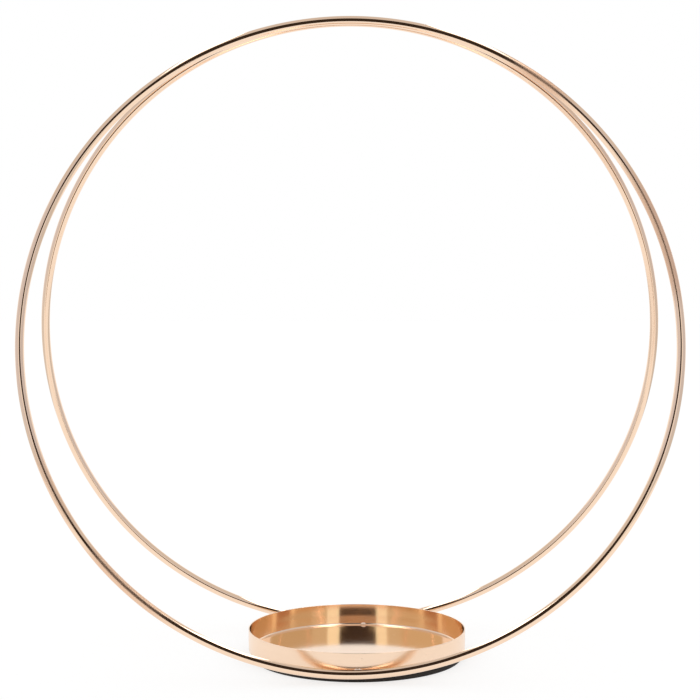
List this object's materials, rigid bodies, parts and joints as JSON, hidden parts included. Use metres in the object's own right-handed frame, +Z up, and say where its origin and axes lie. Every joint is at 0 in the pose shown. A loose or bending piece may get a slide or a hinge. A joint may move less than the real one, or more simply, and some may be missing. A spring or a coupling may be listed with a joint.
{
  "type": "candle ring",
  "caption": "Free-standing candle ring: round wire hoops lean together over a shallow round dish on a soft pad.",
  "frame": {"origin": "on the table under the middle of the hoops, centre of the underside of the whole part's box", "axes": "+Z up, +X across the hoops to the right as seen from the front, +Y to the back; the front faces -Y"},
  "size_m": [0.3, 0.1096, 0.2979],
  "materials": {
    "hoop_metal": "polished rose gold plating over steel wire",
    "dish_metal": "polished rose gold plating over pressed steel sheet",
    "weld_metal": "plated over, a little rough",
    "pad_foam": "matt black closed-cell foam",
    "adhesive_film": "thin double-sided film"
  },
  "bodies": {
    "root": {"front_hoop": "hoop_metal", "back_hoop": "hoop_metal", "candle_dish": "dish_metal", "base_pad": "pad_foam", "pad_adhesive": "adhesive_film", "front_weld": "weld_metal", "back_weld": "weld_metal", "heat_pip": "weld_metal", "top_weld": "weld_metal"}
  },
  "joints": []
}
